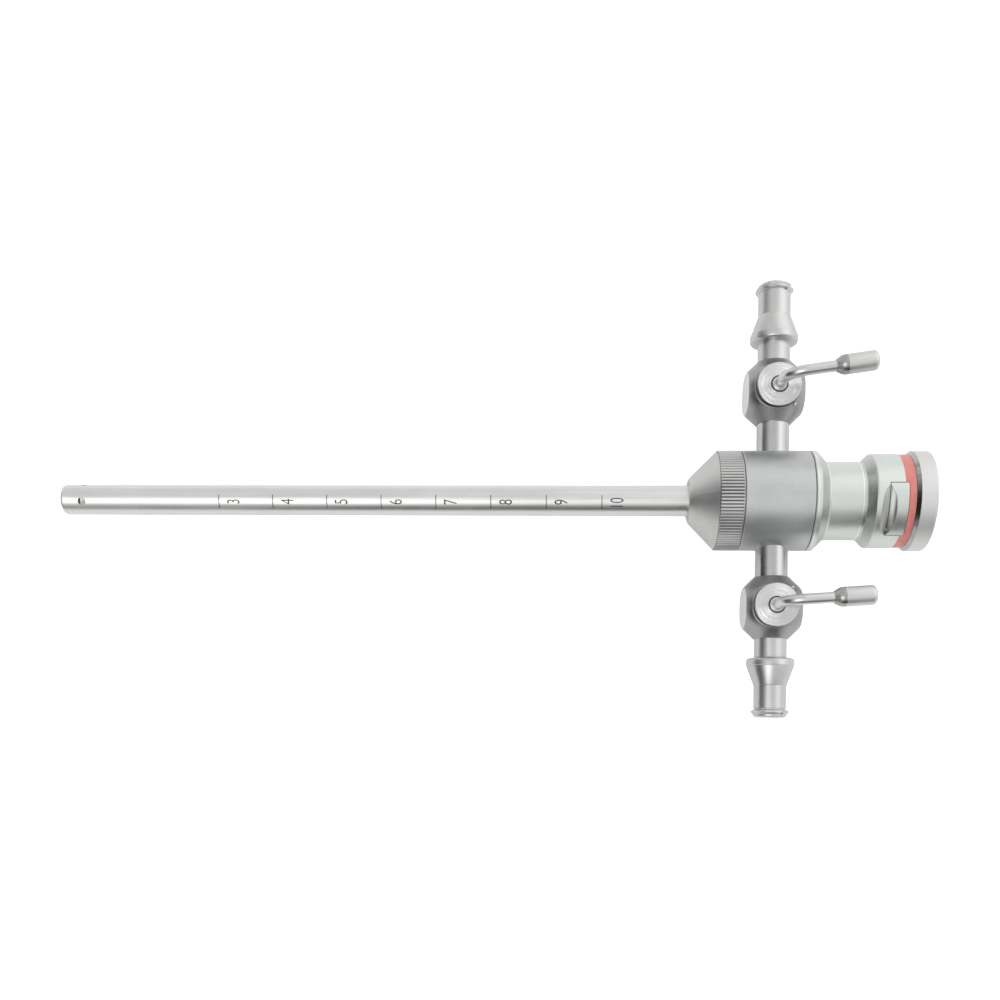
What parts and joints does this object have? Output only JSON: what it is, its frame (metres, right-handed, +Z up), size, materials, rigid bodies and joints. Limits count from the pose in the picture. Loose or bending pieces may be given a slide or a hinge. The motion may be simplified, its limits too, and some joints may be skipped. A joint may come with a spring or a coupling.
{
  "type": "arthroscope sheath",
  "caption": "Steel sheath tube for a thin scope, with a turning drum, lever taps and hose fittings on both sides, and a twist lock ring with a press tab behind a red band.",
  "frame": {"origin": "centre of the tube's open tip", "axes": "+X along the tube from the tip back to the lock ring, +Y along the inflow port, +Z up through the tap levers"},
  "size_m": [0.1573, 0.078, 0.0221],
  "materials": {
    "tube_steel": "brushed along the tube",
    "inner_steel": "satin",
    "blasted_steel": "satin, bead blasted",
    "drum_steel": "satin, bead blasted",
    "housing_steel": "satin",
    "latch_steel": "satin",
    "lock_steel": "satin",
    "stem_steel": "satin",
    "valve_steel": "satin",
    "fitting_steel": "satin",
    "turned_steel": "turned face",
    "polished_steel": "polished",
    "grip_steel": "satin",
    "pin_steel": "bright",
    "red_enamel": "satin red",
    "seal_rubber": "matte"
  },
  "bodies": {
    "sheath": {"sheath_tube": "tube_steel", "spindle": "inner_steel", "nose_cone": "blasted_steel", "o_ring_distal": "seal_rubber", "o_ring_proximal": "seal_rubber", "rear_housing": "housing_steel", "scope_seal": "seal_rubber", "latch_pin": "inner_steel", "colour_ring": "red_enamel", "guide_pin": "inner_steel", "snap_ring": "inner_steel"},
    "drum": {"drum_body": "drum_steel", "inflow_port_stem": "stem_steel", "inflow_valve_body": "valve_steel", "inflow_stop_pin": "pin_steel", "inflow_luer_fitting": "fitting_steel", "outflow_port_stem": "stem_steel", "outflow_valve_body": "valve_steel", "outflow_stop_pin": "pin_steel", "outflow_luer_fitting": "fitting_steel"},
    "inflow_tap": {"inflow_valve_plug": "turned_steel", "inflow_spring_washer": "inner_steel", "inflow_plug_nut": "pin_steel", "inflow_lever_arm": "polished_steel", "inflow_lever_grip": "grip_steel"},
    "outflow_tap": {"outflow_valve_plug": "turned_steel", "outflow_spring_washer": "inner_steel", "outflow_plug_nut": "pin_steel", "outflow_lever_arm": "polished_steel", "outflow_lever_grip": "grip_steel"},
    "lock": {"lock_ring": "lock_steel"},
    "latch": {"latch_tab": "latch_steel"}
  },
  "joints": [
    {"name": "drum_turn", "type": "hinge", "parent": "sheath", "child": "drum", "pos_m": [0.13062, 0, 0], "axis": [1, 0, 0], "continuous": true},
    {"name": "inflow_tap_turn", "type": "hinge", "parent": "drum", "child": "inflow_tap", "pos_m": [0.13062, 0.01935, 0], "axis": [0, 0, 1], "range_deg": [-13, 82]},
    {"name": "outflow_tap_turn", "type": "hinge", "parent": "drum", "child": "outflow_tap", "pos_m": [0.13062, -0.01935, 0], "axis": [0, 0, -1], "range_deg": [-1, 94]},
    {"name": "lock_ring_turn", "type": "hinge", "parent": "sheath", "child": "lock", "pos_m": [0.15555, 0, 0], "axis": [1, 0, 0], "range_deg": [0, 30]},
    {"name": "latch_press", "type": "hinge", "parent": "sheath", "child": "latch", "pos_m": [0.1508, -0.00593, 0.00507], "axis": [1, 0, 0], "range_deg": [0, 3], "stiffness_Nm_per_rad": 0.02, "springref_deg": -5.73}
  ]
}
